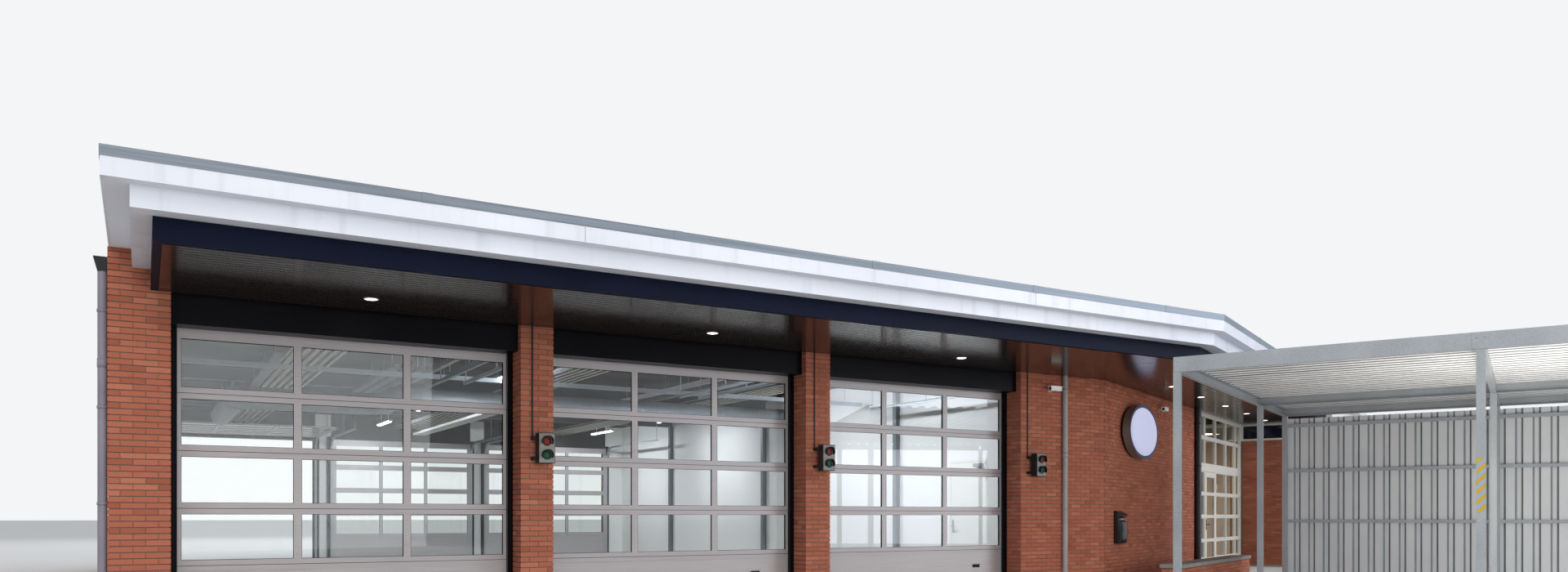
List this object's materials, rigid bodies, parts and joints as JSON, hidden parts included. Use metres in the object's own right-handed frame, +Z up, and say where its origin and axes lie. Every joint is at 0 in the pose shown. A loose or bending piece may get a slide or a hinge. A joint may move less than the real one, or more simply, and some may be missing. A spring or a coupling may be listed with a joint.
{
  "type": "ambulance station",
  "caption": "Brick ambulance station: a drive-through vehicle hall with glazed sectional doors, a wing turned back with a windowed entrance, deep stepped eaves and a steel carport.",
  "frame": {"origin": "middle of the vehicle hall's plan at ground level, on the underside of the floor slab", "axes": "+X along the front from the left corner to the wing, +Y from the front into the hall, +Z up"},
  "size_m": [29.0255, 33.1071, 4.15],
  "materials": {
    "brick": "matte",
    "concrete": "matte",
    "plaster": "matte",
    "white_steel": "satin",
    "bright_metal": "satin",
    "black_steel": "gloss",
    "door_aluminium": "satin",
    "clear_glass": "clear",
    "dark_glass": "gloss",
    "door_panel": "satin",
    "galvanised": "satin",
    "frame_steel": "satin",
    "ceiling_cream": "satin",
    "luminaire": "matte",
    "roof_membrane": "matte",
    "fascia_white": "satin",
    "trim_aluminium": "satin",
    "soffit_gloss": "gloss",
    "downlight": "gloss",
    "window_white": "satin",
    "pipe_grey": "satin",
    "pipe_black": "satin",
    "signal_housing": "matte",
    "camera_white": "gloss",
    "sign_case": "satin",
    "letter_box_dark": "satin",
    "coping_stone": "matte",
    "sheet_steel": "satin",
    "sheet_grey": "satin"
  },
  "bodies": {
    "station": {"floor_slab": "concrete", "front_piers": "brick", "rear_piers": "brick", "left_wall": "brick", "front_right_wall": "brick", "hall_wall_front": "plaster", "hall_wall_rear": "plaster", "hall_wall_lintel": "plaster", "hall_door_frame": "white_steel", "door_headers": "black_steel", "door_portals": "black_steel", "front_door_leaves": "door_aluminium", "rear_door_leaves": "door_aluminium", "front_door_glass": "clear_glass", "rear_door_glass": "clear_glass", "door_panels": "door_panel", "door_tracks": "galvanised", "steel_frames": "frame_steel", "ceiling_strips": "ceiling_cream", "luminaires": "luminaire", "duct": "galvanised", "roof_deck": "roof_membrane", "upper_fascia": "fascia_white", "roof_trim": "trim_aluminium", "eaves_boxes": "fascia_white", "lower_fascia": "fascia_white", "eaves_beam": "black_steel", "soffit": "soffit_gloss", "downlights": "downlight", "sign_wall": "brick", "end_block_wall": "brick", "clerestory_frame": "window_white", "clerestory_glass": "dark_glass", "wing_back_wall": "brick", "entrance_plinth": "brick", "entrance_frame": "window_white", "entrance_glass": "clear_glass", "downpipes": "pipe_grey", "wing_pipe": "pipe_black", "signals": "signal_housing", "cameras": "camera_white", "sign_box": "sign_case", "letter_box": "letter_box_dark", "low_wall": "brick", "low_wall_coping": "coping_stone", "carport_posts": "galvanised", "carport_beams": "galvanised", "carport_roof": "sheet_steel", "carport_girts": "galvanised", "carport_wall": "sheet_grey"},
    "entrance_leaf": {"entrance_leaf": "window_white", "entrance_leaf_glass": "clear_glass", "entrance_handle": "bright_metal"},
    "hall_door": {"hall_door_leaf": "white_steel", "hall_door_fittings": "bright_metal"}
  },
  "joints": [
    {"name": "entrance_hinge", "type": "hinge", "parent": "station", "child": "entrance_leaf", "pos_m": [14.29891, -5.74412, 1.1], "axis": [0, 0, 1], "range_deg": [0, 95]},
    {"name": "hall_door_hinge", "type": "hinge", "parent": "station", "child": "hall_door", "pos_m": [5.686, -7.5715, 1.1], "axis": [0, 0, 1], "range_deg": [0, 95]}
  ]
}
